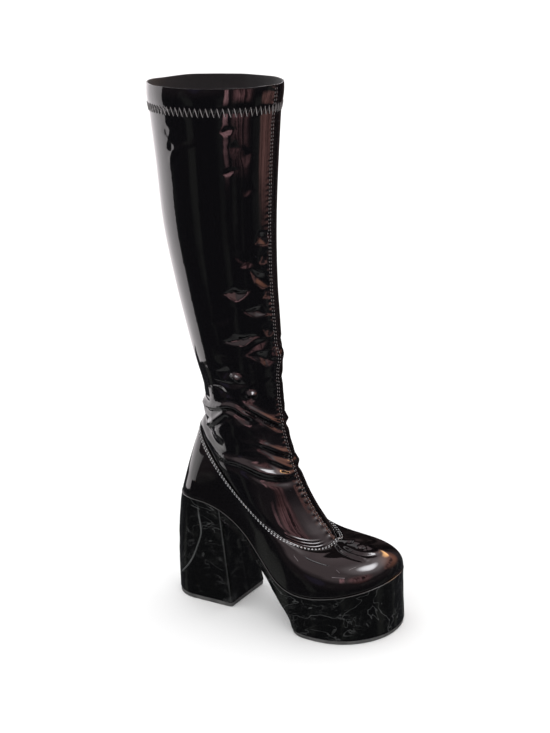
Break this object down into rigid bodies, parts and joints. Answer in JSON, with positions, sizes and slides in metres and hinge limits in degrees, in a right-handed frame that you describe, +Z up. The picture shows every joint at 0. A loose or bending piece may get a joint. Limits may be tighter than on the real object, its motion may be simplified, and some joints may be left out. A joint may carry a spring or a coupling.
{
  "type": "platform boot",
  "caption": "Right-foot knee-high platform boot in black patent with a covered block heel, thick platform sole, stretch shaft and an inner side zip with a hinged pull tab.",
  "frame": {"origin": "bottom centre of the boot's bounding box, on the floor", "axes": "+X towards the toe, +Y towards the inner (medial) side, +Z up"},
  "size_m": [0.2478, 0.113, 0.5043],
  "materials": {
    "patent": "high-gloss black patent",
    "stretch_patent": "high-gloss black stretch patent",
    "cover_patent": "glossy black patent cover",
    "rubber": "matt charcoal",
    "lining": "matt black",
    "zip_cloth": "woven black tape with a nylon coil",
    "zip_metal": "dark gunmetal"
  },
  "bodies": {
    "boot": {"outsole": "rubber", "platform": "cover_patent", "heel_block": "cover_patent", "heel_top_lift": "rubber", "insole": "lining", "upper": "patent", "shaft": "stretch_patent", "zip_tape": "zip_cloth", "zip_slider": "zip_metal"},
    "pull": {"zip_pull": "zip_metal"}
  },
  "joints": [
    {"name": "pull_hinge", "type": "hinge", "parent": "boot", "child": "pull", "pos_m": [-0.0466, 0.04416, 0.27123], "axis": [0.9887, 0.0162, 0.1492], "range_deg": [-8, 150]}
  ]
}
